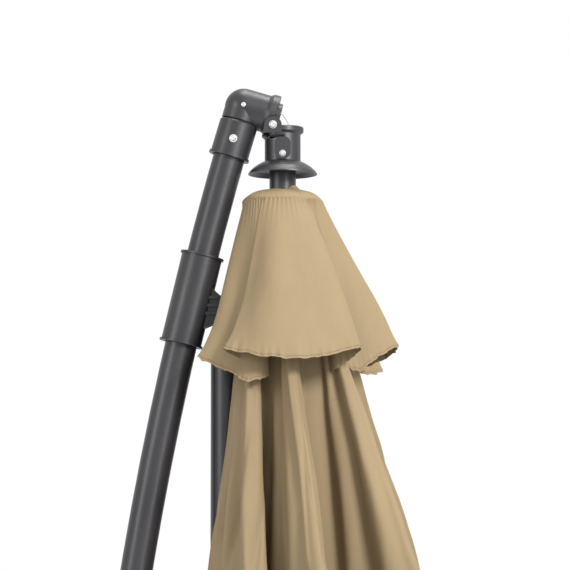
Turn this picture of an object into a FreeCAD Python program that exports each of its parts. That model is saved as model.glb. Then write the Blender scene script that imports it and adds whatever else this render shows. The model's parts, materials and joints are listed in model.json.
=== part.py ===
"""Cantilever parasol, closed: a cross base and mast, a curved boom that slides through a tilting sleeve on
the mast's top, and a hanging head that carries the pole, the rib frame and the fabric.

Millimetres. X points from the mast towards the canopy, Y away from the front, Z up. The origin is on the
ground at the mast's centre line.
"""

import FreeCAD, Part
import math
import os

os.makedirs("parts", exist_ok=True)

V = FreeCAD.Vector
X_AXIS = V(1, 0, 0)
Y_AXIS = V(0, 1, 0)
Z_AXIS = V(0, 0, 1)

# Tubes
TUBE_R = 24.0
TUBE_WALL = 1.5
TUBE_IN_R = TUBE_R - TUBE_WALL
FIT = 0.05                  # radial gap of a running or a slip fit

# Base
BASE_SPAN = 1000.0
BAR_W = 50.0
BAR_H = 30.0
BAR_WALL = 2.0
FOOT_H = 8.0
FOOT_R = 20.0
CAP_T = 4.0
PLATE = 170.0
PLATE_T = 6.0
BASE_BOLT_SPACING = 130.0
PLATE_TOP = FOOT_H + BAR_H + PLATE_T

# Mast
MAST_TOP = 2076.0
MAST_JOINT = 1000.0
MAST_JOINT_HALF = 90.0

# Boom: an arc about BOOM_C in the XZ plane. Angles are its lean from the vertical.
BOOM_BEND_R = 5600.0
SLEEVE_LEAN = 13.4
SLEEVE_X = -53.0
SLEEVE_Z = 2134.0
LEAN_RAD = math.radians(SLEEVE_LEAN)
BOOM_C = V(SLEEVE_X + BOOM_BEND_R * math.cos(LEAN_RAD), 0, SLEEVE_Z - BOOM_BEND_R * math.sin(LEAN_RAD))
BOOM_LOW = -5.5
BOOM_JOINT = 3.5
BOOM_TOP = 16.0
ELBOW_ANGLE = 16.485

# Sleeve and the hinge on the mast's top
SLEEVE_LEN = 138.0
SLEEVE_R = 30.5
LINER_R = 27.5
LINER_BORE_R = 25.0
SLEEVE_RIM_R = 33.0
SLEEVE_RIM_T = 3.0
TILT_X = 6.0
TILT_Z = 2118.0
TILT_PIN_R = 5.0
TONGUE_R = 16.0
TONGUE_HALF = 7.5
EAR_IN = 8.0
EAR_OUT = 13.0

# Brace
BRACE_Z = 1229.7
BRACE_IN = 27.0
BRACE_OUT = 33.0
BRACE_W = 24.0
BRACE_PIN_R = 5.0

# Elbow and head hinge
NECK_R = 25.0
OUTLET_R = 28.5
HINGE_X = 69.0
HINGE_Z = 2394.5
HINGE_PIN_R = 4.0
BOSS_R = 11.0
BOSS_HALF = 24.0
HEAD_EAR_IN = 24.5
HEAD_EAR_OUT = 31.5
HEAD_EAR_R = 13.0
HEAD_RELIEF_R = 19.5

# Head and pole
AXIS_X = 83.5
HEAD_TOP = 2394.4
HEAD_RIM_R = 31.5
BARREL_R = 27.0
LEDGE_Z = 2384.0
BARREL_BOTTOM = 2343.0
BARREL_BORE_R = 24.0
BELL_RIM_R = 52.0
BELL_BOTTOM = 2323.0
POLE_R = 20.0
POLE_TOP = 2352.0
POLE_BOTTOM = 1056.0

# Canopy frame
RIB_COUNT = 8
RIB_LEN = 1320.0
RIB_FLARE = math.radians(5.5)
RIB_ROOT_R = 46.0
RIB_ROOT_Z = 2262.0
RIB_W = 8.0
RIB_D = 12.0
STRUT_AT = 560.0
STRUT_LEN = 560.0
HUB_R = 48.0
RUNNER_R = 36.0

# Fabric: at each level, how far it reaches to the left and to the right of the pole's axis
MAIN_LEVELS = [(2262, 60, 60), (2050, 80, 132), (1730, 112, 204), (945, 187, 300)]
VENT_LEVELS = [(2281, 58, 62), (2180, 84, 112), (2046, 122, 172)]
MAIN_T = 4.0
VENT_T = 2.0
CHANNEL_X = 33.0

# Crank
CRANK_Z = 850.0
CRANK_ARM = 85.0
CRANK_BACK = 66.0

TILT = V(TILT_X, 0, TILT_Z)
HINGE = V(HINGE_X, 0, HINGE_Z)
SLEEVE = V(SLEEVE_X, 0, SLEEVE_Z)


def save(name, shape):
    """Writes one node after making sure that it is sound."""
    if not shape.isValid():
        raise ValueError(name + " is not valid")
    shape.exportStep("parts/" + name + ".step")


def rod(radius, start, end):
    """A solid cylinder from one point to another."""
    along = end.sub(start)
    return Part.makeCylinder(radius, along.Length, start, along)


def pipe(radius, bore, start, end):
    """A straight tube from one point to another."""
    along = end.sub(start)
    reach = V(along).normalize()
    return rod(radius, start, end).cut(rod(bore, start.sub(reach), end.add(reach)))


def block(x0, x1, y0, y1, z0, z1):
    """A box between two corners."""
    return Part.makeBox(x1 - x0, y1 - y0, z1 - z0, V(x0, y0, z0))


def cross_rod(radius, x, z, y0, y1):
    """A cylinder along Y."""
    return rod(radius, V(x, y0, z), V(x, y1, z))


def boom_point(lean):
    """The boom's centre line where it leans by this many degrees."""
    a = math.radians(lean)
    return BOOM_C.add(V(-BOOM_BEND_R * math.cos(a), 0, BOOM_BEND_R * math.sin(a)))


def boom_along(lean):
    """The boom's direction, upwards, where it leans by this many degrees."""
    a = math.radians(lean)
    return V(math.sin(a), 0, math.cos(a))


def boom_arc(radius, bore, low, high):
    """A stretch of curved tube between two leans."""
    centre = boom_point(low)
    along = boom_along(low)
    discs = [Part.Face(Part.Wire(Part.Circle(centre, along, r).toShape())) for r in (radius, bore)]
    return discs[0].cut(discs[1]).revolve(BOOM_C, Y_AXIS, high - low)


def prism_y(points, y0, y1):
    """A prism of an XZ outline between two Y values."""
    corners = [V(x, y0, z) for x, z in points]
    wire = Part.makePolygon(corners + [corners[0]])
    return Part.Face(wire).extrude(V(0, y1 - y0, 0))


def turn_z(shape, degrees, x=0.0, y=0.0):
    """A copy turned about a vertical axis."""
    turned = shape.copy()
    turned.rotate(V(x, y, 0), Z_AXIS, degrees)
    return turned


def both_sides(shape):
    """The shape with its mirror image across the XZ plane."""
    return shape.fuse(shape.mirror(V(0, 0, 0), Y_AXIS))


def lathe(points, x):
    """A solid of revolution about the vertical line at x, from (radius, z) points."""
    corners = [V(x + r, 0, z) for r, z in points]
    wire = Part.makePolygon(corners + [corners[0]])
    return Part.Face(wire).revolve(V(x, 0, 0), Z_AXIS, 360)


# ---- base ----

def domed_head(x, z, radius, y, height):
    """A screw's domed head standing out towards the front from y, with a driver socket in it."""
    dome = Part.makeCone(radius, radius * 0.72, height, V(x, y, z), V(0, -1, 0))
    return dome.cut(cross_rod(radius * 0.38, x, z, y - height - 1, y - height * 0.2))


def square_tube(length, gap):
    """A box-section bar along X, centred, with its middle gap mm left out."""
    z0 = FOOT_H
    z1 = FOOT_H + BAR_H
    half = length / 2
    bar = block(-half, half, -BAR_W / 2, BAR_W / 2, z0, z1)
    hollow = block(-half - 1, half + 1, BAR_WALL - BAR_W / 2, BAR_W / 2 - BAR_WALL, z0 + BAR_WALL, z1 - BAR_WALL)
    bar = bar.cut(hollow)
    if gap:
        bar = bar.cut(block(-gap / 2, gap / 2, -BAR_W, BAR_W, z0 - 1, z1 + 1))
    return bar


def base_bolt_places():
    s = BASE_BOLT_SPACING / 2
    return [(s, 0), (-s, 0), (0, s), (0, -s)]


def with_bolt_holes(shape):
    for x, y in base_bolt_places():
        shape = shape.cut(rod(5.0, V(x, y, 0), V(x, y, PLATE_TOP + 5)))
    return shape


def base():
    tube_span = BASE_SPAN - 2 * CAP_T
    save("base_bar_long", with_bolt_holes(square_tube(tube_span, 0)))
    short = turn_z(square_tube(tube_span, BAR_W + 2 * FIT), 90)
    save("base_bars_short", with_bolt_holes(short))

    caps = []
    feet = []
    for k in range(4):
        end = BASE_SPAN / 2
        cap = block(end - CAP_T, end, -BAR_W / 2, BAR_W / 2, FOOT_H, FOOT_H + BAR_H)
        plug_w = BAR_W / 2 - BAR_WALL - FIT
        cap = cap.fuse(block(end - CAP_T - 20, end - CAP_T, -plug_w, plug_w,
                             FOOT_H + BAR_WALL + FIT, FOOT_H + BAR_H - BAR_WALL - FIT))
        caps.append(turn_z(cap, 90 * k))
        foot_x = end - 45
        foot = Part.makeCone(FOOT_R, FOOT_R - 3, FOOT_H, V(foot_x, 0, 0))
        feet.append(turn_z(foot, 90 * k))
    save("base_end_caps", Part.makeCompound(caps))
    save("base_feet", Part.makeCompound(feet))

    z0 = FOOT_H + BAR_H
    half = PLATE / 2
    plate = block(-half, half, -half, half, z0, PLATE_TOP)
    plate = plate.makeFillet(18, [e for e in plate.Edges if e.Vertexes[0].Z != e.Vertexes[1].Z])
    plate = plate.fuse(pipe(TUBE_R + 4, TUBE_R + FIT, V(0, 0, PLATE_TOP), V(0, 0, PLATE_TOP + 90)))
    gusset = prism_y([(TUBE_R + 3, PLATE_TOP - 1), (half - 22, PLATE_TOP - 1), (TUBE_R + 3, PLATE_TOP + 70)], -3, 3)
    for k in range(4):
        plate = plate.fuse(turn_z(gusset, 45 + 90 * k))
    save("base_plate", with_bolt_holes(plate.removeSplitter()))

    bolts = []
    for x, y in base_bolt_places():
        bolt = rod(4.5, V(x, y, FOOT_H + 0.5), V(x, y, PLATE_TOP + 0.5))
        bolts.append(bolt.fuse(rod(9.0, V(x, y, PLATE_TOP), V(x, y, PLATE_TOP + 6))).removeSplitter())
    save("base_bolts", Part.makeCompound(bolts))


# ---- mast ----

def mast():
    bottom = V(0, 0, PLATE_TOP)
    joint = V(0, 0, MAST_JOINT)
    top = V(0, 0, MAST_TOP)
    save("mast_lower", pipe(TUBE_R, TUBE_IN_R, bottom, joint))
    brace_hole = cross_rod(BRACE_PIN_R + FIT, 0, BRACE_Z, -40, 40)
    save("mast_upper", pipe(TUBE_R, TUBE_IN_R, joint.add(V(0, 0, FIT)), top).cut(brace_hole))
    inner_r = TUBE_IN_R - FIT
    half = V(0, 0, MAST_JOINT_HALF)
    save("mast_joint_sleeve", pipe(inner_r, inner_r - 2, joint.sub(half), joint.add(half)))

    plug = rod(TUBE_IN_R - FIT, V(0, 0, MAST_TOP - 60), V(0, 0, MAST_TOP))
    plug = plug.cut(rod(8, V(0, 0, MAST_TOP - 61), V(0, 0, MAST_TOP - 10)))
    plug = plug.fuse(rod(TUBE_R, V(0, 0, MAST_TOP + FIT), V(0, 0, MAST_TOP + 8)))
    plug = plug.fuse(rod(TUBE_IN_R - FIT, V(0, 0, MAST_TOP - 1), V(0, 0, MAST_TOP + 1)))
    neck = prism_y([(TILT_X - TONGUE_R, TILT_Z), (TILT_X + TONGUE_R, TILT_Z), (TILT_X + TONGUE_R, MAST_TOP + 4),
                    (TILT_X - TONGUE_R - 3, MAST_TOP + 4)], -TONGUE_HALF, TONGUE_HALF)
    tongue = cross_rod(TONGUE_R, TILT_X, TILT_Z, -TONGUE_HALF, TONGUE_HALF)
    fitting = plug.fuse(neck).fuse(tongue).cut(cross_rod(TILT_PIN_R + FIT, TILT_X, TILT_Z, -20, 20))
    save("mast_top_fitting", fitting.removeSplitter())

    save("brace_pivot_bolt", pivot_bolt(BRACE_PIN_R, 0, BRACE_Z, BRACE_OUT + 1))


def pivot_bolt(radius, x, z, half):
    """A through bolt along Y with a domed head and a nut."""
    bolt = cross_rod(radius, x, z, -half - 1, half + 1)
    head = cross_rod(radius + 3, x, z, -half - 5, -half)
    nut = cross_rod(radius + 3, x, z, half, half + 6)
    return bolt.fuse(head).fuse(nut).removeSplitter()


# ---- sleeve ----

def sleeve():
    along = boom_along(SLEEVE_LEAN)
    half = V(along).multiply(SLEEVE_LEN / 2)
    low = SLEEVE.sub(half)
    high = SLEEVE.add(half)
    rim = V(along).multiply(SLEEVE_RIM_T)
    body = rod(SLEEVE_R, low, high)
    body = body.fuse(rod(SLEEVE_RIM_R, low, low.add(rim))).fuse(rod(SLEEVE_RIM_R, high.sub(rim), high))

    # The gusset bracket: two cheeks with a concave upper edge, tied by three ribs.
    top = V(-28.0, 0, 2171.0)
    bottom = V(-46.0, 0, 2084.0)
    waist = V(-19.0, 0, 2148.0)
    tip = V(TILT_X - 4, 0, TILT_Z + 15.5)
    under = V(TILT_X - 6, 0, TILT_Z - 15)
    lead = V(-30.0, 0, 2092.0)
    inner = SLEEVE.add(V(6, 0, 0))
    upper = Part.Arc(top, waist, tip).toShape()
    lower = Part.Arc(under, lead, bottom).toShape()
    sides = [Part.makeLine(tip, under), Part.makeLine(bottom, inner), Part.makeLine(inner, top)]
    cheek = Part.Face(Part.Wire([upper, sides[0], lower, sides[1], sides[2]]))
    cheek.translate(V(0, EAR_IN, 0))
    cheek = cheek.extrude(V(0, EAR_OUT - EAR_IN, 0))
    ear = cross_rod(TONGUE_R + 0.5, TILT_X, TILT_Z, EAR_IN, EAR_OUT)
    body = body.fuse(both_sides(cheek.fuse(ear)))
    for k in range(3):
        z = 2136 - 12 * k
        body = body.fuse(block(-36, -13, -16.5, 16.5, z - 2.2, z + 2.2))
    body = body.cut(rod(LINER_R + FIT, low.sub(rim), high.add(rim)))
    body = body.cut(cross_rod(TILT_PIN_R + FIT, TILT_X, TILT_Z, -30, 30))
    save("sleeve", body.removeSplitter())
    save("sleeve_liner", pipe(LINER_R, LINER_BORE_R, low, high))
    pin = cross_rod(TILT_PIN_R, TILT_X, TILT_Z, -EAR_OUT - 1, EAR_OUT + 1)
    heads = both_sides(cross_rod(TILT_PIN_R + 1.5, TILT_X, TILT_Z, EAR_OUT + 0.1, EAR_OUT + 2))
    save("tilt_pin", pin.fuse(heads).removeSplitter())


def face_screw(at, shank_r, head_r, surface, depth):
    """A screw on the front, with its head on a surface this far from the XZ plane."""
    screw = cross_rod(shank_r, at.x, at.z, -surface - 1, -surface + depth)
    screw = screw.fuse(cross_rod(head_r, at.x, at.z, -surface - 1, -surface - FIT))
    return screw.fuse(domed_head(at.x, at.z, head_r * 0.72, -surface - 1, 1.6)).removeSplitter()


# ---- boom ----

def boom():
    upper = boom_arc(TUBE_R, TUBE_IN_R, BOOM_JOINT + 0.001, BOOM_TOP)
    lower = boom_arc(TUBE_R, TUBE_IN_R, BOOM_LOW, BOOM_JOINT)
    save("boom_upper", upper)
    save("boom_lower", lower)
    inner_r = TUBE_IN_R - FIT
    save("boom_joint_sleeve", boom_arc(inner_r, inner_r - 2, BOOM_JOINT - 0.9, BOOM_JOINT + 0.9))

    foot = boom_point(BOOM_LOW)
    along = boom_along(BOOM_LOW)
    plug = rod(TUBE_IN_R - 0.4, foot.add(V(along).multiply(0.1)), foot.add(V(along).multiply(35)))
    plug = plug.fuse(rod(TUBE_R, foot.sub(V(along).multiply(32)), foot.sub(V(along).multiply(0.05))))
    plug = plug.fuse(rod(TUBE_IN_R - 0.4, foot.sub(V(along).multiply(2)), foot.add(V(along).multiply(2))))
    pin_at = brace_end()
    plug = plug.cut(cross_rod(BRACE_PIN_R + 0.4, pin_at.x, pin_at.z, -30, 30))
    save("boom_end_fitting", plug.removeSplitter())


def brace_end():
    """The brace's lower pivot, on the boom's end fitting."""
    return boom_point(BOOM_LOW)


def elbow():
    turn = math.radians(ELBOW_ANGLE)
    up = V(math.sin(turn), 0, math.cos(turn))
    out = V(math.cos(turn), 0, -math.sin(turn))
    corner = boom_point(ELBOW_ANGLE)

    def on_neck(d):
        return corner.add(V(up).multiply(d))

    def on_outlet(d):
        return corner.add(V(out).multiply(d))

    neck_end = -26.5
    collar_end = -76.5
    body = rod(NECK_R, on_neck(neck_end - 8), corner)
    body = body.fuse(Part.makeSphere(OUTLET_R, corner)).fuse(rod(27.8, on_neck(neck_end + 4.3), corner))
    body = body.fuse(rod(OUTLET_R, corner, on_outlet(49)))
    body = body.fuse(rod(32.0, on_outlet(41), on_outlet(50)))
    step = Part.makeCone(32.0, OUTLET_R, 6, on_outlet(41), V(out).multiply(-1))
    body = body.fuse(step)
    body = body.fuse(cross_rod(BOSS_R, HINGE_X, HINGE_Z, -BOSS_HALF, BOSS_HALF))
    body = body.cut(rod(19.0, on_neck(neck_end - 9), corner)).cut(Part.makeSphere(20.0, corner))
    body = body.cut(rod(20.0, corner, on_outlet(60)))
    sealed = body.fuse(cross_rod(BOSS_R - 3, HINGE_X, HINGE_Z, -BOSS_HALF, BOSS_HALF))
    body = sealed.cut(cross_rod(HINGE_PIN_R + FIT, HINGE_X, HINGE_Z, -50, 50))
    body = body.cut(both_sides(cross_rod(HEAD_EAR_R + 0.8, HINGE_X, HINGE_Z, BOSS_HALF + 0.05, 50)))
    screw_at = on_neck(0)
    body = body.cut(cross_rod(2.5 + FIT, screw_at.x, screw_at.z, -40, -15))
    save("elbow", body.removeSplitter())

    collar = rod(29.0, on_neck(collar_end), on_neck(neck_end))
    collar = collar.fuse(rod(31.0, on_neck(collar_end - 3), on_neck(collar_end + 1)))
    collar = collar.fuse(Part.makeCone(29.0, 25.6, 4, on_neck(neck_end), up))
    collar = collar.cut(rod(NECK_R + FIT, on_neck(neck_end - 8), on_neck(neck_end + 5)))
    collar = collar.cut(rod(TUBE_R + 1.0, on_neck(collar_end - 4), on_neck(neck_end - 7)))
    collar = collar.cut(rod(OUTLET_R + FIT, corner, on_outlet(49))).cut(Part.makeSphere(OUTLET_R + FIT, corner))
    screw_low = on_neck(-53.5)
    collar = collar.cut(cross_rod(3.0 + FIT, screw_low.x, screw_low.z, -40, 0))
    save("elbow_collar", collar.removeSplitter())

    # The cord guide stands in the outlet, above the hinge boss.
    guide = pipe(19.9, 15.5, on_outlet(46), on_outlet(56))
    guide = guide.fuse(pipe(21.0, 15.5, on_outlet(50.2), on_outlet(56)))
    guide = guide.cut(cross_rod(BOSS_R + 0.3, HINGE_X, HINGE_Z, -40, 40))
    save("cord_guide", guide.removeSplitter())

    small = face_screw(screw_at, 2.5, 3.4, OUTLET_R, 6)
    large = face_screw(screw_low, 3.0, 6.0, 29.0, 3)
    save("elbow_screws", Part.makeCompound([small, large]))

    # The slack of the lift cord, from the guide into the head.
    start = on_outlet(44).add(V(up).multiply(9))
    bend = V(88.5, 0, 2409)
    end = V(95, 0, 2384)
    path = Part.Wire(Part.Arc(start, bend, end).toShape())
    tangent = path.Edges[0].tangentAt(path.Edges[0].FirstParameter)
    ring = Part.Wire(Part.Circle(start, tangent, 0.7).toShape())
    save("lift_cord", Part.Wire(path).makePipeShell([ring], True, True))


# ---- brace ----

def brace():
    top = V(0, 0, BRACE_Z)
    low = brace_end()
    lean = math.degrees(math.atan2(top.x - low.x, top.z - low.z))
    length = top.sub(low).Length
    bar = block(-BRACE_W / 2, BRACE_W / 2, BRACE_IN, BRACE_OUT, -length, 0)
    bar = bar.fuse(cross_rod(BRACE_W / 2, 0, 0, BRACE_IN, BRACE_OUT))
    bar = bar.fuse(cross_rod(BRACE_W / 2, 0, -length, BRACE_IN, BRACE_OUT))
    bar = bar.cut(cross_rod(BRACE_PIN_R + FIT, 0, 0, 0, 40))
    bar = bar.cut(cross_rod(BRACE_PIN_R + FIT, 0, -length, 0, 40))
    bars = Part.makeCompound([bar, bar.mirror(V(0, 0, 0), Y_AXIS)])
    bars.rotate(V(0, 0, 0), Y_AXIS, lean)
    bars.translate(top)
    save("brace_bars", bars)

    stub = cross_rod(BRACE_PIN_R, low.x, low.z, BRACE_IN - 1.5, BRACE_OUT + 1)
    stub = stub.fuse(cross_rod(BRACE_PIN_R + 3, low.x, low.z, BRACE_OUT + 0.1, BRACE_OUT + 5)).removeSplitter()
    save("brace_end_bolts", Part.makeCompound([stub, stub.mirror(V(0, 0, 0), Y_AXIS)]))


# ---- head ----

def head():
    body = lathe([(0, HEAD_TOP), (HEAD_RIM_R - 1, HEAD_TOP), (HEAD_RIM_R, HEAD_TOP - 1), (HEAD_RIM_R, HEAD_TOP - 7),
                  (HEAD_RIM_R - 2, HEAD_TOP - 9), (BARREL_R, HEAD_TOP - 11),
                  (BARREL_R, BARREL_BOTTOM), (32, BARREL_BOTTOM - 2.4), (38, BARREL_BOTTOM - 5.7),
                  (44, BARREL_BOTTOM - 10), (49, BARREL_BOTTOM - 14.8), (51.5, BELL_BOTTOM + 2),
                  (BELL_RIM_R, BELL_BOTTOM),
                  (50, BELL_BOTTOM), (42, BARREL_BOTTOM - 13.5), (30, BARREL_BOTTOM - 11), (24, BARREL_BOTTOM - 9),
                  (0, BARREL_BOTTOM - 9)], AXIS_X)
    body = body.cut(block(30, 78, -40, 40, LEDGE_Z, HEAD_TOP + 5))
    ledge = rod(HEAD_RIM_R, V(AXIS_X, 0, LEDGE_Z - 4), V(AXIS_X, 0, LEDGE_Z))
    ledge = ledge.fuse(Part.makeCone(BARREL_R, HEAD_RIM_R, 4, V(AXIS_X, 0, LEDGE_Z - 8)))
    ledge = ledge.cut(block(AXIS_X + 3, 150, -50, 50, LEDGE_Z - 10, LEDGE_Z + 1))
    neck = prism_y([(HINGE_X - HEAD_EAR_R, HINGE_Z), (HINGE_X + HEAD_EAR_R, HINGE_Z),
                    (HINGE_X + HEAD_EAR_R, LEDGE_Z - 1), (HINGE_X - HEAD_EAR_R - 2, LEDGE_Z - 1)], HEAD_EAR_IN, HEAD_EAR_OUT)
    round_ear = cross_rod(HEAD_EAR_R, HINGE_X, HINGE_Z, HEAD_EAR_IN, HEAD_EAR_OUT)
    body = body.fuse(ledge).fuse(both_sides(neck.fuse(round_ear)))
    body = body.cut(cross_rod(HEAD_RELIEF_R, HINGE_X, HINGE_Z, -HEAD_EAR_IN, HEAD_EAR_IN))
    body = body.cut(rod(BARREL_BORE_R, V(AXIS_X, 0, POLE_TOP), V(AXIS_X, 0, HEAD_TOP + 5)))
    body = body.cut(rod(POLE_R + FIT, V(AXIS_X, 0, BELL_BOTTOM - 5), V(AXIS_X, 0, POLE_TOP + 1)))
    body = body.cut(cross_rod(HINGE_PIN_R + FIT, HINGE_X, HINGE_Z, -50, 50))
    screw_z = 2351.5
    body = body.cut(cross_rod(3.0 + FIT, AXIS_X, screw_z, -50, -POLE_R))
    save("head_barrel", body.removeSplitter())

    plate_low = BARREL_BOTTOM + 12.3
    plate_top = 2366.0
    front = -BARREL_R - 2.5
    plate = block(AXIS_X - 12, AXIS_X + 12, front, -20, plate_low, plate_top)
    plate = plate.fuse(cross_rod(12, AXIS_X, plate_low, front, -20)).fuse(cross_rod(12, AXIS_X, plate_top, front, -20))
    barrel = rod(BARREL_R + FIT, V(AXIS_X, 0, 2300), V(AXIS_X, 0, 2420))
    plate = plate.cut(barrel).cut(cross_rod(3.0 + FIT, AXIS_X, screw_z, -50, 0))
    plate = plate.cut(lathe([(0, LEDGE_Z + 1), (40, LEDGE_Z + 1), (40, LEDGE_Z - 4), (BARREL_R + 0.2, LEDGE_Z - 8.2),
                             (0, LEDGE_Z - 8.2)], AXIS_X))
    save("head_cover_plate", plate.removeSplitter())

    screw = cross_rod(3.0, AXIS_X, screw_z, front - 0.5, -21).fuse(
        cross_rod(4.8, AXIS_X, screw_z, front - 1, front - FIT))
    save("head_screw", screw.fuse(domed_head(AXIS_X, screw_z, 4.2, front - 1, 1.8)).removeSplitter())

    bolt = cross_rod(HINGE_PIN_R, HINGE_X, HINGE_Z, -HEAD_EAR_OUT - 1, HEAD_EAR_OUT + 1)
    bolt = bolt.fuse(cross_rod(6.0, HINGE_X, HINGE_Z, -HEAD_EAR_OUT - 2, -HEAD_EAR_OUT - 0.05))
    bolt = bolt.fuse(domed_head(HINGE_X, HINGE_Z, 5.4, -HEAD_EAR_OUT - 2, 2.2))
    bolt = bolt.fuse(cross_rod(6.5, HINGE_X, HINGE_Z, HEAD_EAR_OUT + 0.05, HEAD_EAR_OUT + 5))
    save("head_hinge_bolt", bolt.removeSplitter())

    save("canopy_pole", pipe(POLE_R, POLE_R - TUBE_WALL, V(AXIS_X, 0, POLE_BOTTOM), V(AXIS_X, 0, POLE_TOP - 0.1)))
    cap = rod(POLE_R - TUBE_WALL - FIT, V(AXIS_X, 0, POLE_BOTTOM), V(AXIS_X, 0, POLE_BOTTOM + 25))
    cap = cap.fuse(Part.makeCone(POLE_R - 4, POLE_R + 1, 12, V(AXIS_X, 0, POLE_BOTTOM - 12.05)))
    cap = cap.fuse(rod(POLE_R - TUBE_WALL - FIT, V(AXIS_X, 0, POLE_BOTTOM - 1), V(AXIS_X, 0, POLE_BOTTOM + 1)))
    save("pole_end_cap", cap.removeSplitter())


# ---- canopy frame ----

def rib_angle(k):
    return 22.5 + 360.0 / RIB_COUNT * k


def slotted_ring(radius, z0, z1, slot_w, slot_in):
    """A collar on the pole with one slot for each rib or strut."""
    ring = pipe(radius, POLE_R + FIT, V(AXIS_X, 0, z0), V(AXIS_X, 0, z1))
    slot = block(AXIS_X + slot_in, AXIS_X + radius + 5, -slot_w / 2, slot_w / 2, z0 - 1, z1 - 5)
    for k in range(RIB_COUNT):
        ring = ring.cut(turn_z(slot, rib_angle(k), AXIS_X))
    return ring


def canopy_frame():
    save("crown_hub", slotted_ring(HUB_R, RIB_ROOT_Z - 12, RIB_ROOT_Z + 12, RIB_W + 1, 36))

    flare = math.degrees(RIB_FLARE)
    rib = block(-RIB_D / 2, RIB_D / 2, -RIB_W / 2, RIB_W / 2, -RIB_LEN, 4)
    rib.rotate(V(0, 0, 0), Y_AXIS, -flare)
    rib.translate(V(AXIS_X + RIB_ROOT_R, 0, RIB_ROOT_Z))
    rib = rib.cut(block(0, 400, -20, 20, RIB_ROOT_Z + 6, RIB_ROOT_Z + 40))

    gap = RIB_D / 2 + 6
    pivot_r = RIB_ROOT_R + STRUT_AT * math.sin(RIB_FLARE) - gap
    pivot_z = RIB_ROOT_Z - STRUT_AT * math.cos(RIB_FLARE)
    foot_r = RUNNER_R - 5
    drop = math.sqrt(STRUT_LEN ** 2 - (pivot_r - foot_r) ** 2)
    foot_z = pivot_z - drop
    strut_turn = math.degrees(math.asin((pivot_r - foot_r) / STRUT_LEN))
    strut = block(-4, 4, -3, 3, -STRUT_LEN, 0)
    strut.rotate(V(0, 0, 0), Y_AXIS, -strut_turn)
    strut.translate(V(AXIS_X + foot_r, 0, foot_z))
    strut.rotate(V(AXIS_X + foot_r, 0, foot_z), Y_AXIS, 180)
    strut = strut.mirror(V(AXIS_X + foot_r, 0, 0), X_AXIS)
    for k in range(RIB_COUNT):
        save("rib_%d" % (k + 1), turn_z(rib, rib_angle(k), AXIS_X))
        save("strut_%d" % (k + 1), turn_z(strut, rib_angle(k), AXIS_X))
    ring = pipe(RUNNER_R, POLE_R + 0.6, V(AXIS_X, 0, foot_z - 30), V(AXIS_X, 0, foot_z + 12))
    slot = block(AXIS_X + 25, AXIS_X + RUNNER_R + 5, -4, 4, foot_z - 6, foot_z + 13)
    for k in range(RIB_COUNT):
        ring = ring.cut(turn_z(slot, rib_angle(k), AXIS_X))
    save("runner", ring)
    print("strut pivot r %.1f z %.1f, runner z %.1f" % (pivot_r, pivot_z, foot_z))


# ---- fabric ----

def cone_stack(levels, inset):
    """A solid through circles that reach left and right of the pole's axis by the given amounts."""
    rings = []
    for z, left, right in levels:
        centre = V(AXIS_X + (right - left) / 2, 0, z)
        rings.append(Part.Wire(Part.Circle(centre, Z_AXIS, (left + right) / 2 - inset).toShape()))
    return Part.makeLoft(rings, True, True)


def shell(levels, thickness):
    """The fabric's wall, open below and above."""
    first = (levels[0][0] + 1, levels[0][1], levels[0][2])
    last = (levels[-1][0] - 1, levels[-1][1], levels[-1][2])
    inner = cone_stack([first] + levels[1:-1] + [last], thickness)
    return cone_stack(levels, 0).cut(inner)


def mast_channel(top, top_half, bottom, bottom_half):
    """The space that the mast, the sleeve's bracket and the brace need, open towards the boom."""
    outline = [V(-400, -top_half, top), V(-400, top_half, top), V(-400, bottom_half, bottom),
               V(-400, -bottom_half, bottom)]
    return Part.Face(Part.makePolygon(outline + [outline[0]])).extrude(V(400 + CHANNEL_X, 0, 0))


def fabric():
    main = shell(MAIN_LEVELS, MAIN_T).cut(mast_channel(2240, 31, 900, 56))
    save("canopy_main", main)
    vent = shell(VENT_LEVELS, VENT_T).cut(mast_channel(2232, 36, 2000, 38))
    save("canopy_vent", vent)
    cap = lathe([(POLE_R + 1, 2298.5), (40, 2295.5), (56, 2289), (62, 2282.5), (60.5, 2281.7), (55, 2286.6), (39, 2292.3),
                 (POLE_R + 1, 2295)], AXIS_X)
    save("canopy_cap", cap)


# ---- crank ----

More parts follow.
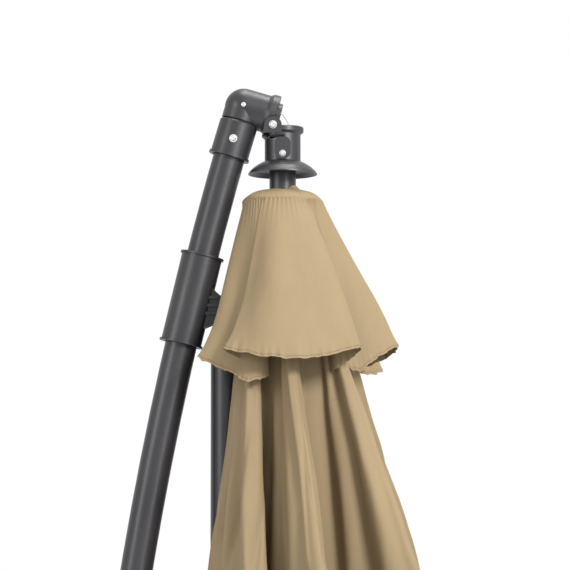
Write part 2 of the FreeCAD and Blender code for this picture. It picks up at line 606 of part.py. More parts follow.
def crank():
    z0 = CRANK_Z - 45
    z1 = CRANK_Z + 45
    shell_back = block(-32, 32, 0.2, CRANK_BACK, z0, z1)
    shell_back = shell_back.makeFillet(10, [e for e in shell_back.Edges if e.CenterOfMass.y > CRANK_BACK - 1])
    hollow = block(-28, 28, 26, CRANK_BACK - 4, z0 + 4, z1 - 4)
    mast_bore = rod(TUBE_R + 0.3, V(0, 0, z0 - 5), V(0, 0, z1 + 5))
    shell_back = shell_back.cut(hollow).cut(mast_bore).cut(rod(8 + FIT, V(0, 20, CRANK_Z), V(0, 90, CRANK_Z)))
    save("crank_housing", shell_back.removeSplitter())
    cover = block(-32, 32, -32, -0.2, z0, z1)
    cover = cover.makeFillet(10, [e for e in cover.Edges if e.CenterOfMass.y < -31]).cut(mast_bore)
    holes = [rod(2.6, V(x, -40, z), V(x, 20, z)) for x in (-28, 28) for z in (z0 + 14, z1 - 14)]
    for hole in holes:
        cover = cover.cut(hole)
    save("crank_housing_cover", cover.removeSplitter())
    screws = []
    for x in (-28, 28):
        for z in (z0 + 14, z1 - 14):
            screws.append(rod(2.5, V(x, -29, z), V(x, -0.5, z)))
    save("crank_housing_screws", Part.makeCompound(screws))
    save("cord_drum", pipe(16, 8 + FIT, V(0, 32, CRANK_Z), V(0, 56, CRANK_Z)).fuse(
        pipe(22, 8 + FIT, V(0, 31, CRANK_Z), V(0, 33, CRANK_Z))).fuse(
        pipe(22, 8 + FIT, V(0, 55, CRANK_Z), V(0, 57, CRANK_Z))).removeSplitter())

    arm_y = CRANK_BACK + 8
    arm = block(-9, 9, arm_y, arm_y + 7, CRANK_Z - CRANK_ARM, CRANK_Z)
    arm = arm.fuse(rod(13, V(0, arm_y, CRANK_Z), V(0, arm_y + 9, CRANK_Z)))
    arm = arm.fuse(rod(9, V(0, arm_y, CRANK_Z - CRANK_ARM), V(0, arm_y + 7, CRANK_Z - CRANK_ARM)))
    arm = arm.fuse(rod(8, V(0, 29, CRANK_Z), V(0, arm_y + 1, CRANK_Z)))
    spindle_end = arm_y + 52
    arm = arm.fuse(rod(3.5, V(0, arm_y + 5, CRANK_Z - CRANK_ARM), V(0, spindle_end, CRANK_Z - CRANK_ARM)))
    save("crank_arm", arm.removeSplitter())
    knob_z = CRANK_Z - CRANK_ARM
    knob = Part.makeCone(10, 13, 30, V(0, arm_y + 8, knob_z), Y_AXIS)
    knob = knob.fuse(Part.makeCone(13, 9, 16, V(0, arm_y + 38, knob_z), Y_AXIS))
    save("crank_knob", knob.cut(rod(3.5 + FIT, V(0, arm_y, knob_z), V(0, spindle_end + 0.2, knob_z))).removeSplitter())


base()
mast()
sleeve()
boom()
elbow()
brace()
head()
canopy_frame()
fabric()
crank()
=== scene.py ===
"""A closed cantilever parasol: finishes on the CAD frame, and the canopy's cloth as folded sheets."""

import json
import math

import bpy
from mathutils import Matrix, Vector, noise


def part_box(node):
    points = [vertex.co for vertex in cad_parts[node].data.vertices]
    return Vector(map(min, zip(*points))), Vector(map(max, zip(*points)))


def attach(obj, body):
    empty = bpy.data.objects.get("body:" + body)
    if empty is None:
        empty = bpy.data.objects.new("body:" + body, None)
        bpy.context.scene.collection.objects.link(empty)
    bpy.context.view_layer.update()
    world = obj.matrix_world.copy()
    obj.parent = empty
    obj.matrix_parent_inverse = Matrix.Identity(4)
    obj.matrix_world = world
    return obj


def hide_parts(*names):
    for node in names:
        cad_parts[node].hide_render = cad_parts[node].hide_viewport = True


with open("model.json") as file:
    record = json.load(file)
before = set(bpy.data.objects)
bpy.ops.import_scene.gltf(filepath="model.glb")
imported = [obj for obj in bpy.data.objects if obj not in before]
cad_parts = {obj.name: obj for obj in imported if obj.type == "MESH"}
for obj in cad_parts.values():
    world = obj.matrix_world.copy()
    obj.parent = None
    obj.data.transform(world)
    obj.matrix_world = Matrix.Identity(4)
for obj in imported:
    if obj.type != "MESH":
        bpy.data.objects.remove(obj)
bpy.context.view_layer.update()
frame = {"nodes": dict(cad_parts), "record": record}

# Places from the frame, in metres
pole_low, pole_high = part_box("canopy_pole")
AXIS_X = (pole_low.x + pole_high.x) / 2
hub_low, hub_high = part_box("crown_hub")
HUB_Z = (hub_low.z + hub_high.z) / 2
CAP_LOW_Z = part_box("canopy_cap")[0].z
MAST_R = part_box("mast_upper")[1].y

# Canopy
RIB_COUNT = 8
RIB_STEP = 2 * math.pi / RIB_COUNT
RIB_ROOT_R = 0.046
RIB_FLARE = math.radians(5.5)
OVER_RIB = 0.0088           # from a rib's centre line to the cloth on it
RIB_CLOTH = 1.345           # cut length of the main cloth along a rib
TOP_SLANT = 0.03            # where the main cloth starts, under the vent
SIDE_SHARE = 2 * math.sin(RIB_STEP / 2)     # a gore's width, for each metre along its rib
CHANNEL_X = 0.036           # the cloth passes the mast on its right


# ---- materials ----

def new_material(name):
    mat = bpy.data.materials.new(name)
    mat.use_nodes = True
    nodes = mat.node_tree.nodes
    nodes.clear()
    out = nodes.new("ShaderNodeOutputMaterial")
    shader = nodes.new("ShaderNodeBsdfPrincipled")
    mat.node_tree.links.new(shader.outputs["BSDF"], out.inputs["Surface"])
    return mat, shader


def add(mat, kind, **settings):
    node = mat.node_tree.nodes.new(kind)
    for key, value in settings.items():
        if key in node.inputs:
            node.inputs[key].default_value = value
        else:
            setattr(node, key, value)
    return node


def link(mat, source, target):
    mat.node_tree.links.new(source, target)


def object_noise(mat, scale, detail=3.0, stretch=(1.0, 1.0, 1.0)):
    """Noise in the object's own coordinates, which every node shares."""
    coords = add(mat, "ShaderNodeTexCoord")
    mapping = add(mat, "ShaderNodeMapping")
    mapping.inputs["Scale"].default_value = stretch
    texture = add(mat, "ShaderNodeTexNoise", Scale=scale, Detail=detail)
    link(mat, coords.outputs["Object"], mapping.inputs["Vector"])
    link(mat, mapping.outputs["Vector"], texture.inputs["Vector"])
    return texture.outputs["Fac"]


def ramp(mat, source, stops):
    node = add(mat, "ShaderNodeValToRGB")
    elements = node.color_ramp.elements
    while len(elements) < len(stops):
        elements.new(0.5)
    for element, (place, colour) in zip(elements, stops):
        element.position = place
        element.color = (*colour, 1)
    link(mat, source, node.inputs["Fac"])
    return node.outputs["Color"]


def spread(mat, source, low, high):
    node = add(mat, "ShaderNodeMapRange")
    node.inputs["To Min"].default_value = low
    node.inputs["To Max"].default_value = high
    link(mat, source, node.inputs["Value"])
    return node.outputs["Result"]


def bump(mat, shader, layers):
    """Chains bump layers of (height, strength, distance)."""
    last = None
    for height, strength, distance in layers:
        node = add(mat, "ShaderNodeBump", Strength=strength, Distance=distance)
        link(mat, height, node.inputs["Height"])
        if last:
            link(mat, last, node.inputs["Normal"])
        last = node.outputs["Normal"]
    link(mat, last, shader.inputs["Normal"])


def coated_steel(name, dark, light, rough):
    """Satin powder coat: a fine orange-peel and a faint clouding of the colour."""
    mat, shader = new_material(name)
    cloud = object_noise(mat, 9, 4)
    speck = object_noise(mat, 900, 2)
    link(mat, ramp(mat, cloud, [(0.3, dark), (0.7, light)]), shader.inputs["Base Color"])
    link(mat, spread(mat, cloud, rough - 0.04, rough + 0.05), shader.inputs["Roughness"])
    shader.inputs["Metallic"].default_value = 0.35
    shader.inputs["Coat Weight"].default_value = 0.06
    shader.inputs["Coat Roughness"].default_value = 0.3
    bump(mat, shader, [(object_noise(mat, 260, 2), 0.05, 0.001), (speck, 0.05, 0.0004)])
    return mat


def moulded_plastic(name, dark, light, rough):
    """Moulded plastic with a fine spark-eroded grain and faint scuffs."""
    mat, shader = new_material(name)
    cloud = object_noise(mat, 14, 5)
    grain = object_noise(mat, 1300, 2)
    scuff = object_noise(mat, 60, 6, (1, 1, 0.2))
    link(mat, ramp(mat, cloud, [(0.3, dark), (0.72, light)]), shader.inputs["Base Color"])
    link(mat, spread(mat, scuff, rough - 0.08, rough + 0.1), shader.inputs["Roughness"])
    shader.inputs["Specular IOR Level"].default_value = 0.5
    bump(mat, shader, [(grain, 0.12, 0.0004), (scuff, 0.04, 0.001)])
    return mat


def plated_steel():
    mat, shader = new_material("bright zinc plate")
    cloud = object_noise(mat, 400, 3)
    link(mat, ramp(mat, cloud, [(0.3, (0.66, 0.67, 0.68)), (0.7, (0.85, 0.85, 0.84))]),
         shader.inputs["Base Color"])
    link(mat, spread(mat, cloud, 0.22, 0.38), shader.inputs["Roughness"])
    shader.inputs["Metallic"].default_value = 1.0
    bump(mat, shader, [(cloud, 0.08, 0.0003)])
    return mat


def foot_rubber():
    mat, shader = new_material("foot rubber")
    cloud = object_noise(mat, 120, 4)
    link(mat, ramp(mat, cloud, [(0.3, (0.018, 0.018, 0.018)), (0.7, (0.035, 0.034, 0.033))]),
         shader.inputs["Base Color"])
    link(mat, spread(mat, cloud, 0.75, 0.9), shader.inputs["Roughness"])
    bump(mat, shader, [(cloud, 0.1, 0.0006)])
    return mat


ONE_WAVE_SCALE = 0.314    # the wave texture's scale that gives one wave to a metre
THREAD_PITCH = 0.0011       # metres


def woven(name, dark, light):
    """Plain-woven polyester: warp and weft as two crossed waves, with slubs, creases and a sheen."""
    mat, shader = new_material(name)
    coords = add(mat, "ShaderNodeUVMap")
    coords.uv_map = "cloth"
    waves = []
    for direction in ("X", "Y"):
        wave = add(mat, "ShaderNodeTexWave", Scale=ONE_WAVE_SCALE / THREAD_PITCH,
                   Distortion=0.6, Detail=1.0)
        wave.bands_direction = direction
        link(mat, coords.outputs["UV"], wave.inputs["Vector"])
        waves.append(wave.outputs["Fac"])
    weave = add(mat, "ShaderNodeMath", operation="MULTIPLY")
    link(mat, waves[0], weave.inputs[0])
    link(mat, waves[1], weave.inputs[1])
    cloud = object_noise(mat, 3.5, 5, (1, 1, 0.35))
    slub = object_noise(mat, 70, 3, (1, 1, 0.12))
    mixed = add(mat, "ShaderNodeMath", operation="MULTIPLY_ADD")
    mixed.inputs[1].default_value = 0.3
    link(mat, slub, mixed.inputs[0])
    link(mat, spread(mat, cloud, 0.1, 0.6), mixed.inputs[2])
    link(mat, ramp(mat, mixed.outputs[0], [(0.2, dark), (0.75, light)]), shader.inputs["Base Color"])
    link(mat, spread(mat, slub, 0.68, 0.82), shader.inputs["Roughness"])
    shader.inputs["Sheen Weight"].default_value = 0.07
    shader.inputs["Sheen Tint"].default_value = (0.85, 0.70, 0.45, 1)
    shader.inputs["Sheen Roughness"].default_value = 0.5
    shader.inputs["Specular IOR Level"].default_value = 0.35
    bump(mat, shader, [(object_noise(mat, 26, 4, (1, 1, 0.3)), 0.12, 0.004),
                       (weave.outputs[0], 0.25, 0.0004)])
    return mat


KHAKI_DARK = (0.166, 0.120, 0.062)
KHAKI_LIGHT = (0.218, 0.160, 0.086)
STEEL = coated_steel("charcoal powder coat", (0.021, 0.020, 0.023), (0.030, 0.029, 0.032), 0.38)
RIB_STEEL = coated_steel("rib powder coat", (0.04, 0.039, 0.043), (0.055, 0.053, 0.058), 0.42)
PLASTIC = moulded_plastic("charcoal moulded plastic", (0.0115, 0.0108, 0.0125),
                          (0.0175, 0.0165, 0.0190), 0.38)
ZINC = plated_steel()
RUBBER = foot_rubber()
CORD = moulded_plastic("braided cord", (0.30, 0.29, 0.30), (0.42, 0.41, 0.42), 0.6)
KHAKI = woven("khaki woven polyester", KHAKI_DARK, KHAKI_LIGHT)
THREAD = moulded_plastic("khaki sewing thread", (0.12, 0.085, 0.042), (0.18, 0.13, 0.07), 0.7)
BY_SLOT = {
    "charcoal_steel": STEEL,
    "rib_steel": RIB_STEEL,
    "dark_plastic": PLASTIC,
    "zinc_steel": ZINC,
    "foot_rubber": RUBBER,
    "cord_black": CORD,
    "khaki_fabric": KHAKI,
}


def paint(obj, mat):
    obj.data.materials.clear()
    obj.data.materials.append(mat)


def paint_frame():
    for part in frame["record"]["subparts"]:
        node = frame["nodes"][part["node"]]
        for place in node.material_slots:
            place.material = BY_SLOT[part["material_slot"]]


# ---- mesh helpers ----

def mesh_object(name, points, faces, mat, smooth=True):
    mesh = bpy.data.meshes.new(name)
    mesh.from_pydata(points, [], faces)
    mesh.update()
    for face in mesh.polygons:
        face.use_smooth = smooth
    obj = bpy.data.objects.new(name, mesh)
    bpy.context.collection.objects.link(obj)
    paint(obj, mat)
    return obj


def grid(name, rows, mat):
    """A sheet through closed rows of points. Its UVs run in metres along and down the cloth."""
    across = len(rows[0])
    points = [p for row in rows for p in row]
    faces = []
    for j in range(len(rows) - 1):
        for i in range(across):
            k = (i + 1) % across
            faces.append((j * across + i, (j + 1) * across + i, (j + 1) * across + k, j * across + k))
    obj = mesh_object(name, points, faces, mat)
    widest = rows[-1]
    along = [0.0]
    for i in range(across):
        along.append(along[-1] + (widest[(i + 1) % across] - widest[i]).length)
    down = [0.0]
    for j in range(len(rows) - 1):
        down.append(down[-1] + (rows[j + 1][0] - rows[j][0]).length)
    layer = obj.data.uv_layers.new(name="cloth")
    for face_at, face in enumerate(obj.data.polygons):
        j, i = divmod(face_at, across)
        corners = [(along[i], down[j]), (along[i], down[j + 1]),
                   (along[i + 1], down[j + 1]), (along[i + 1], down[j])]
        for loop, uv in zip(face.loop_indices, corners):
            layer.data[loop].uv = uv
    return obj


def catmull(a, b, c, d, t):
    """The point at share t from b to c, on a smooth curve through a, b, c and d."""
    return 0.5 * ((2 * b) + (c - a) * t + (2 * a - 5 * b + 4 * c - d) * t ** 2
                  + (3 * b - a - 3 * c + d) * t ** 3)


def closed_spline(points, per_span):
    """Points of a smooth closed curve through the given ones, the same number in each span."""
    n = len(points)
    made = []
    for i in range(n):
        for k in range(per_span):
            made.append(catmull(points[i - 1], points[i], points[(i + 1) % n], points[(i + 2) % n],
                                k / per_span))
    return made


def open_spline(points, count):
    """Evenly numbered points of a smooth open curve through the given ones, ends included."""
    n = len(points)
    made = []
    for k in range(count):
        at = k / (count - 1) * (n - 1)
        i = min(int(at), n - 2)
        before = points[max(i - 1, 0)]
        after = points[min(i + 2, n - 1)]
        made.append(catmull(before, points[i], points[i + 1], after, at - i))
    return made


def smooth_step(x):
    x = min(max(x, 0.0), 1.0)
    return x * x * (3 - 2 * x)


def at_axis(angle, radius, z=0.0):
    return Vector((AXIS_X + radius * math.cos(angle), radius * math.sin(angle), z))


# ---- main canopy ----

# Each gore's fold: heading in degrees, how far it winds round, the share of its slack that it takes
# up, half its thickness at the edge, and its phase, sway and ripple. The first gore faces the mast and
# has no such fold.
FOLD_KEYS = ("heading", "wind", "slack", "tip", "phase", "sway", "ripple")
FOLDS = [
    (272, 1.05, 0.72, 0.0150, 0.3, 0.005, 0.0058),
    (284, 0.30, 0.76, 0.0125, 1.7, 0.006, 0.0050),
    (312, 0.55, 0.76, 0.0140, 2.9, 0.005, 0.0060),
    (394, 0.70, 0.72, 0.0140, 4.0, 0.005, 0.0056),
    (412, 0.70, 0.78, 0.0140, 5.1, 0.008, 0.0060),
    (440, 0.70, 0.80, 0.0140, 0.9, 0.008, 0.0060),
    (424, 0.30, 0.70, 0.0130, 2.2, 0.006, 0.0052),
]
GORES = [None] + [dict(zip(FOLD_KEYS, values)) for values in FOLDS]
GORE_SAMPLES = 84
SPINE_STEPS = 40
MAIN_ROWS = 110
STRAIGHT_SLACK = 0.14       # a fold deeper than this winds further round the canopy,
SLACK_PER_RADIAN = 0.095    # by a radian for each of these
FLAT_TIP = 0.004            # half the thickness of a fold that has hardly begun
FULL_TIP_SLACK = 0.12       # how deep a fold is once its edge has its full thickness
FULL_RIPPLE_SLACK = 0.1
THINNEST_FOLD = 0.0012
ROOT_WIDTH = 0.30           # half a fold's width at its root, as a share of the gap between its ribs
ROOT_SHARE = 0.25           # the share of a fold over which it leaves its ribs
MAST_GAP = 0.008            # cloth to mast, at the mast's sides


def rib_radius(slant):
    return RIB_ROOT_R + OVER_RIB + slant * math.sin(RIB_FLARE)


def rib_place(k, slant):
    return at_axis(RIB_STEP * (k - 0.5) + math.pi, rib_radius(slant))


EDGE_AT = 0.86              # where a fold's rounded edge begins, as a share of its depth


def fold_width(t, base, tip):
    """Half the thickness of a fold, from its root at t = 0 to its rounded edge at t = 1."""
    neck = base + (tip - base) * smooth_step(t / 0.45)
    bulb = 1 + 0.35 * math.exp(-((t - EDGE_AT) / 0.1) ** 2)
    end = math.sqrt(max(0.0, 1 - max(0.0, (t - EDGE_AT) / 0.14) ** 2))
    return neck * bulb * end


def fold_spine(middle, heading, wind, slack, shape, slant):
    """The middle line of a fold, from between its ribs to its edge, and the direction of each step."""
    outward = math.atan2(middle.y, middle.x - AXIS_X)
    swing = (heading - outward + math.pi) % (2 * math.pi) - math.pi
    spine = [middle]
    directions = []
    for i in range(SPINE_STEPS + 1):
        t = i / SPINE_STEPS
        turn = smooth_step(t * 3.2 + 0.08)
        aim = outward + swing * turn + wind * t
        aim += shape["sway"] * 14 * t * math.sin(slant * 9 + shape["phase"] * 2)
        directions.append(aim)
        spine.append(spine[-1] + Vector((math.cos(aim), math.sin(aim), 0)) * (slack / SPINE_STEPS))
    return spine, directions


def gore_line(k, slant):
    """One gore's line at one slant, from rib k to rib k + 1, as (point, share across from -1 to 1)."""
    start = rib_place(k, slant)
    end = rib_place(k + 1, slant)
    chord = (end - start).length
    width = SIDE_SHARE * slant
    shape = GORES[k]
    opening = 0.95 + 0.05 * smooth_step((slant - 0.24) / 0.4)
    slack = max(0.0, width - chord) / 2 * shape["slack"] * opening
    wind = shape["wind"] + max(0.0, slack - STRAIGHT_SLACK) / SLACK_PER_RADIAN
    heading = math.radians(shape["heading"])
    spine, directions = fold_spine((start + end) / 2, heading, wind, slack, shape, slant)
    tip = FLAT_TIP + (shape["tip"] - FLAT_TIP) * min(1.0, slack / FULL_TIP_SLACK)
    made = []
    half = GORE_SAMPLES // 2
    for i in range(GORE_SAMPLES + 1):
        across = (i - half) / half
        t = math.sin(math.pi / 2 * (1 - abs(across)))
        at = t * SPINE_STEPS
        j = min(int(at), SPINE_STEPS - 1)
        place = spine[j] + (spine[j + 1] - spine[j]) * (at - j)
        aim = directions[j]
        normal = Vector((-math.sin(aim), math.cos(aim), 0))
        side = 1 if across > 0 else -1
        blend = smooth_step(t / ROOT_SHARE)
        root = start if side < 0 else end
        wide = fold_width(t, chord * ROOT_WIDTH, tip)
        drift = 1.2 * math.sin(slant * 6 + shape["phase"])
        fold = math.sin(t * 17 + shape["phase"] * 3 + side * 1.1 + drift)
        inside = smooth_step(t / 0.2) * smooth_step((1 - t) / 0.12)
        wide += shape["ripple"] * fold * inside * min(1.0, slack / FULL_RIPPLE_SLACK)
        leg = place + normal * max(wide, THINNEST_FOLD) * side
        made.append((root.lerp(leg, blend) if t < ROOT_SHARE else leg, across))
    return made


def mast_gore_line(slant):
    """The gore that faces the mast: it is pushed in round the mast's right side and puckers there."""
    start = rib_place(0, slant)
    end = rib_place(1, slant)
    wall = min(start.y, max(MAST_R + MAST_GAP, start.y * 0.93))
    depth = CHANNEL_X + 0.004 * math.sin(slant * 17)
    corner_x = max(depth, start.x + 0.002)
    pleat = 0.012 + 0.006 * math.sin(slant * 11 + 1)
    points = [start, Vector(((start.x + corner_x) / 2, wall, 0)), Vector((corner_x, wall * 0.93, 0)),
              Vector((corner_x + pleat, wall * 0.5, 0)), Vector((corner_x, 0.0, 0)),
              Vector((corner_x + pleat, -wall * 0.5, 0)), Vector((corner_x, -wall * 0.93, 0)),
              Vector(((start.x + corner_x) / 2, -wall, 0)), end]
    line = open_spline(points, GORE_SAMPLES + 1)
    return [(p, i * 2 / GORE_SAMPLES - 1) for i, p in enumerate(line)]


def main_drop(slant, across, place):
    """How far below the hub a point hangs: a gore's middle is cut shorter than its edges."""
    reach = slant * math.cos(RIB_STEP / 2) * math.hypot(1, across * math.tan(RIB_STEP / 2))
    out = math.hypot(place.x - AXIS_X, place.y) - RIB_ROOT_R
    return math.sqrt(max(reach * reach - min(out * out, reach * reach * 0.5), 0.0))


def creased(place, slant, across, amount):
    """Soft upright creases, and small puckers beside the seams."""
    where = Vector((place.x * 22, place.y * 22, place.z * 3.2))
    out = Vector((place.x - AXIS_X, place.y, 0)).normalized()
    soft = noise.noise(where) * 0.0045 + noise.noise(where * 2.6) * 0.0018
    seam = math.exp(-((1 - abs(across)) / 0.05) ** 2)
    clear = smooth_step((1 - abs(across)) / 0.12)
    angle = math.atan2(place.y, place.x - AXIS_X)
    drift = noise.noise(Vector((math.cos(angle) * 1.3, math.sin(angle) * 1.3, place.z * 1.6)))
    wave = math.sin(11.5 * angle + drift * 5.0 + 0.8)
    wave = 1 - 2 * (1 - abs(wave)) ** 2
    growth = smooth_step((slant - 0.1) / 0.45)
    soft += 0.0046 * wave * growth * (0.6 + 0.8 * noise.noise(Vector((angle * 1.7, place.z * 2.0, 5))))
    pucker = seam * 0.0009 * (1 + math.sin(place.z * 420 + noise.noise(where) * 4)) / 2
    return place + out * (soft * clear + pucker) * amount


def main_canopy():
    rows = []
    for j in range(MAIN_ROWS):
        slant = TOP_SLANT + (RIB_CLOTH - TOP_SLANT) * (j / (MAIN_ROWS - 1))
        row = []
        for k in range(RIB_COUNT):
            line = mast_gore_line(slant) if k == 0 else gore_line(k, slant)
            for place, across in line[:-1]:
                place = place.copy()
                place.z = HUB_Z - main_drop(slant, across, place)
                keep = 0.25 if k == 0 else 1.0
                row.append(creased(place, slant, across, keep * smooth_step(slant * 4)))
        rows.append(row)
    cloth = grid("canopy_main_cloth", rows, KHAKI)
    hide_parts("canopy_main")
    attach(cloth, "head")
    return rows


# ---- vent ----

# The vent's hem as it hangs, seen from above, from the mast's left front round the front: panels stand
# out between creases, and the cloth turns in behind each crease. Millimetres.
VENT_HEM = [
    (-37, -64, 2042), (-2, -104, 2020), (28, -126, 2003), (57, -116, 2006),
    (63, -96, 2016), (34, -104, 2030), (-4, -120, 2050), (40, -146, 2040),
    (88, -156, 2033), (142, -152, 2036), (192, -124, 2051), (190, -98, 2044),
    (158, -84, 2022), (150, -62, 2020), (168, -70, 2034), (196, -62, 2022),
    (226, -50, 2044), (252, -26, 2060), (236, 6, 2046), (196, 26, 2030),
    (214, 62, 2026), (236, 96, 2034), (180, 132, 2034), (132, 116, 2030),
    (112, 150, 2028), (58, 168, 2036), (44, 120, 2034), (24, 112, 2030),
    (-8, 118, 2042), (10, 78, 2038), (-26, 56, 2046), (10, 42, 2036),
    (36, 30, 2036), (42, 0, 2036), (36, -30, 2036), (8, -42, 2036),
]
VENT_SPAN = 14
VENT_ROWS = 64
VENT_START = math.radians(190)
VENT_TOP_R = 0.0601
VENT_TOP_Z = CAP_LOW_Z - 0.0004
HEM_BAND = 0.05             # how far up from the hem its ripple reaches, as a share of the vent


def vent_rows():
    hem = closed_spline([Vector(p) / 1000 for p in VENT_HEM], VENT_SPAN)
    count = len(hem)
    rows = []
    for j in range(VENT_ROWS):
        g = j / (VENT_ROWS - 1)
        row = []
        for i, low in enumerate(hem):
            angle = VENT_START + 2 * math.pi * i / count
            lean = math.atan2(low.y, low.x - AXIS_X)
            off = (lean - angle + math.pi) % (2 * math.pi) - math.pi
            high = at_axis(angle + off * 0.55, VENT_TOP_R, VENT_TOP_Z)
            gather = 0.0011 * math.sin(i * 2 * math.pi / 5.5) * math.exp(-g * 14)
            flank = max(0.0, -math.cos(lean))
            hang = 0.42 * smooth_step(flank * 1.3)
            flare = (1 - hang) * g ** (1.08 - 0.18 * flank) + hang * g ** 5
            place = high.lerp(low, flare)
            place.z = high.z + (low.z - high.z) * g
            out = Vector((place.x - AXIS_X, place.y, 0)).normalized()
            where = Vector((place.x * 16, place.y * 16, place.z * 4))
            swell = 0.006 * math.sin(math.pi * g) + noise.noise(where) * 0.006 * g
            swell += noise.noise(where * 3) * 0.0015 * g
            crease = math.sin(lean * 7 + 1.1 + 1.5 * noise.noise(Vector((lean * 1.5, g * 1.5, 2))))
            swell += 0.0042 * crease * smooth_step(g * 2.0) * (1 - 0.45 * g)
            near_hem = math.exp(-((1 - g) / HEM_BAND) ** 2)
            flutter = 0.0030 * noise.noise(Vector((i * 0.42, 3.1, 0)))
            ripple = near_hem * (flutter + 0.0011 * math.sin(i * 1.9))
            place = place + out * (gather + swell + ripple)
            place.z += near_hem * 0.0034 * noise.noise(Vector((i * 0.31, 0.7, 0)))
            row.append(place)
        rows.append(row)
    return rows


def vent():
    rows = vent_rows()
    cloth = grid("canopy_vent_cloth", rows, KHAKI)
    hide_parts("canopy_vent")
    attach(cloth, "head")
    return cloth, rows


# ---- sewing ----

STITCH_LENGTH = 0.0027
STITCH_R = 0.0004
STITCH_PITCH = 0.0042
LONG_STITCH_PITCH = 0.008
HEM_LIFT = 0.0004           # how far the hems' stitches stand off the cloth
CAP_LIFT = 0.0002


def stitches(name, line, normals, pitch, lift):
    """A row of small raised stitches along a closed line."""
    points = []
    faces = []
    walked = 0.0
    at = 0.0
    count = len(line)
    for i in range(count):
        a = line[i]
        b = line[(i + 1) % count]
        step = (b - a).length
        while at <= walked + step and step > 1e-6:
            t = (at - walked) / step
            middle = a.lerp(b, t) + normals[i] * lift
            along = (b - a).normalized() * (STITCH_LENGTH / 2)
            side = along.cross(normals[i]).normalized() * STITCH_R
            rise = normals[i] * STITCH_R
            base = len(points)
            back = middle - along * 0.6
            front = middle + along * 0.6
            points += [middle - along, back + side, back + rise, back - side,
                       front + side, front + rise, front - side, middle + along]
            faces += [(base, base + 2, base + 1), (base, base + 3, base + 2), (base, base + 1, base + 3),
                      (base + 1, base + 2, base + 5, base + 4), (base + 2, base + 3, base + 6, base + 5),
                      (base + 3, base + 1, base + 4, base + 6), (base + 4, base + 5, base + 7),
                      (base + 5, base + 6, base + 7), (base + 6, base + 4, base + 7)]
            at += pitch
        walked += step
    obj = mesh_object(name, points, faces, THREAD)
    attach(obj, "head")


def line_normals(line, below):
    """Outward normals of the cloth along one row, from the row below it."""
    count = len(line)
    made = []
    for i in range(count):
        along = (line[(i + 1) % count] - line[i - 1]).normalized()
        made.append(along.cross(line[i] - below[i]).normalized())
    return made


def sew_hem(name, rows, pitch):
    """Stitches along the row next to a cloth's hem."""
    line = rows[-2]
    stitches(name, line, line_normals(line, rows[-1]), pitch, HEM_LIFT)


# ---- cap ----

# Radius and height, from the pole out to the rim
CAP_PROFILE = [(0.0212, 2.2984), (0.0290, 2.2978), (0.0400, 2.2960), (0.0500, 2.2924), (0.0565, 2.2872),
               (0.0594, 2.2828), (0.0600, 2.2804), (0.0599, 2.2790)]
CAP_ROWS = 30
CAP_SEGMENTS = 220
CAP_SEAM_ROW = 15
CAP_TAB_ANGLE = math.radians(328)
CAP_TAB_HEIGHT = 0.0080


def cap():
    profile = [Vector((r, 0, z)) for r, z in CAP_PROFILE]
    line = open_spline(profile, CAP_ROWS)
    rows = []
    for j, p in enumerate(line):
        row = []
        for i in range(CAP_SEGMENTS):
            angle = 2 * math.pi * i / CAP_SEGMENTS
            edge = smooth_step((j - 8) / 20)
            soft = noise.noise(Vector((math.cos(angle) * 2.2, math.sin(angle) * 2.2, j * 0.12)))
            gather = 0.00035 * math.sin(angle * 40) * edge
            place = at_axis(angle, p.x + soft * 0.0018 * edge + gather,
                            p.z + soft * 0.0016 * (1 - edge * 0.5))
            tab = math.exp(-((angle - CAP_TAB_ANGLE) / 0.5) ** 2) * smooth_step((5 - j) / 5)
            place.z += CAP_TAB_HEIGHT * tab
            row.append(place)
        rows.append(row)
    top = grid("canopy_cap_cloth", rows, KHAKI)
    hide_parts("canopy_cap")
    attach(top, "head")
    seam = rows[CAP_SEAM_ROW]
    inward = line_normals(seam, rows[CAP_SEAM_ROW + 1])
    stitches("cap_stitching", seam, [-n for n in inward], STITCH_PITCH, CAP_LIFT)


# ---- lift cord ----

# From the elbow's cord guide, over the slack, to the head. The cord bends towards the middle point.
CORD_ROUTE = [(0.0695, 0.0, 2.4214), (0.0930, 0.0, 2.4150), (0.0950, 0.0, 2.3840)]
CORD_WIDTH = 0.0014


def lift_cord():
    curve = bpy.data.curves.new("lift_cord_line", "CURVE")
    curve.dimensions = "3D"
    curve.bevel_depth = CORD_WIDTH / 2
    curve.bevel_resolution = 4
    line = curve.splines.new("NURBS")
    line.points.add(len(CORD_ROUTE) - 1)
    for point, place in zip(line.points, CORD_ROUTE):
        point.co = (*place, 1)
    line.order_u = 3
    line.use_endpoint_u = True
    cord = bpy.data.objects.new("lift_cord_line", curve)
    bpy.context.collection.objects.link(cord)
    paint(cord, CORD)
    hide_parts("lift_cord")
    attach(cord, "boom")


# ---- surroundings ----

FLOOR_HALF = 60.0
# Each light: name, place, what it aims at, width and height, watts
LIGHTS = [
    ("key", (2.1, -2.7, 3.8), (0.1, 0, 2.0), (0.8, 0.9), 185),
    ("fill", (-2.7, -2.1, 2.8), (0.1, 0, 1.9), (0.9, 2.0), 42),
    ("strip", (2.0, -2.8, 2.4), (0.1, 0, 2.3), (0.15, 2.2), 25),
    ("top", (0.3, 0.2, 4.6), (0.1, 0, 2.0), (1.2, 1.2), 40),
]


def white_world():
    world = bpy.data.worlds.new("studio")
    bpy.context.scene.world = world
    world.use_nodes = True
    world.node_tree.nodes["Background"].inputs["Color"].default_value = (1, 1, 1, 1)
    world.node_tree.nodes["Background"].inputs["Strength"].default_value = 1.0
    bpy.context.scene.view_settings.view_transform = "Standard"


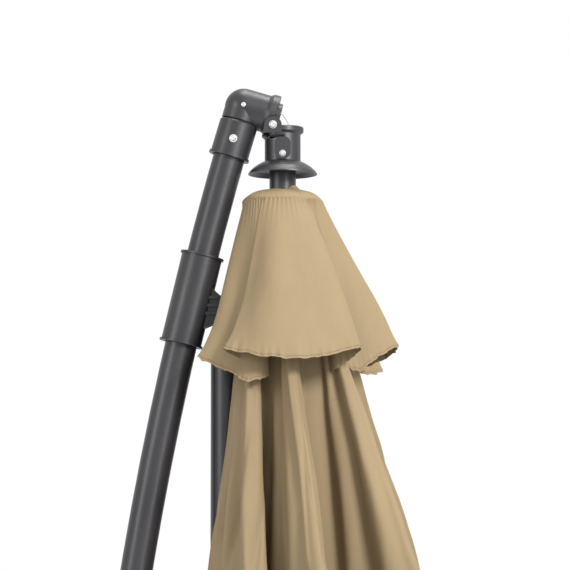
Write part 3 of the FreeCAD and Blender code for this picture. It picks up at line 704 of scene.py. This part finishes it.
def pale_floor():
    floor, shader = new_material("pale floor")
    cloud = object_noise(floor, 2.0, 3)
    link(floor, ramp(floor, cloud, [(0.3, (0.84, 0.84, 0.84)), (0.7, (0.86, 0.86, 0.86))]),
         shader.inputs["Base Color"])
    shader.inputs["Roughness"].default_value = 0.8
    corners = [(x * FLOOR_HALF, y * FLOOR_HALF, 0) for x, y in ((-1, -1), (1, -1), (1, 1), (-1, 1))]
    mesh_object("floor", corners, [(0, 1, 2, 3)], floor, False)


def area_light(name, place, aim, size_m, power):
    data = bpy.data.lights.new(name, "AREA")
    data.shape = "RECTANGLE"
    data.size, data.size_y = size_m
    data.energy = power
    lamp = bpy.data.objects.new(name, data)
    lamp.location = place
    lamp.rotation_euler = (Vector(aim) - Vector(place)).to_track_quat("-Z", "Y").to_euler()
    bpy.context.collection.objects.link(lamp)


def surroundings():
    white_world()
    pale_floor()
    for light in LIGHTS:
        area_light(*light)


VIEW_WIDTH = 0.855          # what the frame takes in at the parasol's axis
VIEW_CENTRE = Vector((0.0870, 0.0, 2.1560))
VIEW_DISTANCE = 5.0
VIEW_ELEVATION = math.radians(-6.0)
SENSOR = 36.0
CLIP_END = 60


def camera():
    data = bpy.data.cameras.new("camera")
    data.sensor_width = SENSOR
    data.lens = SENSOR * VIEW_DISTANCE / VIEW_WIDTH
    data.clip_end = CLIP_END
    cam = bpy.data.objects.new("camera", data)
    back = Vector((0, -math.cos(VIEW_ELEVATION), math.sin(VIEW_ELEVATION)))
    cam.location = VIEW_CENTRE + back * VIEW_DISTANCE
    cam.rotation_euler = (-back).to_track_quat("-Z", "Y").to_euler()
    bpy.context.collection.objects.link(cam)
    bpy.context.scene.camera = cam


# ---- the scene ----

camera()
lift_cord()
surroundings()
paint_frame()
main_rows = main_canopy()
vent_cloth, made_vent_rows = vent()
cap()
sew_hem("main_hem_stitching", main_rows, LONG_STITCH_PITCH)
sew_hem("vent_hem_stitching", made_vent_rows, STITCH_PITCH)

bpy.context.view_layer.update()
